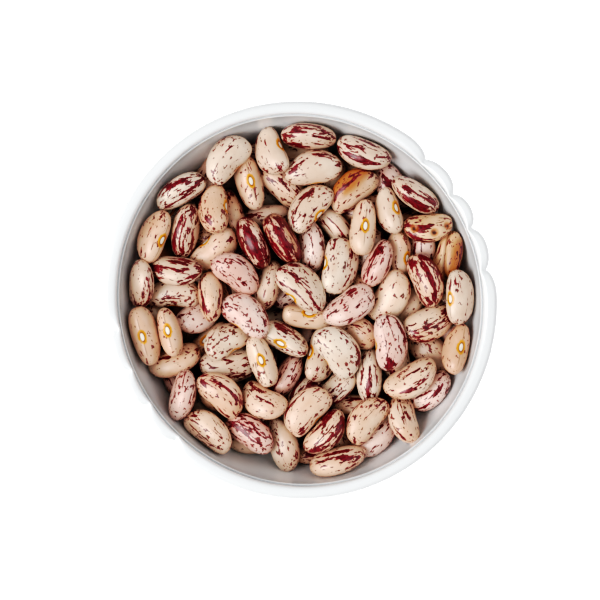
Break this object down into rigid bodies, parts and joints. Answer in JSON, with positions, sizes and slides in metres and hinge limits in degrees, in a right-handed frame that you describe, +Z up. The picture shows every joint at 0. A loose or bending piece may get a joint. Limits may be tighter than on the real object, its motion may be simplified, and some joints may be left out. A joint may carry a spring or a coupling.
{
  "type": "bowl of dried beans",
  "caption": "Small white porcelain bowl with two scalloped grips on its rim, filled with a heap of dried speckled beans.",
  "frame": {"origin": "centre of the foot ring's base, where the bowl stands", "axes": "+Z up through the bowl's middle, X through the two scalloped grips, +Y across the mouth's longer way"},
  "size_m": [0.1074, 0.1098, 0.048],
  "materials": {
    "porcelain": "gloss",
    "beans": "satin"
  },
  "bodies": {
    "root": {"bowl": "porcelain", "bean_heap": "beans"}
  },
  "joints": []
}
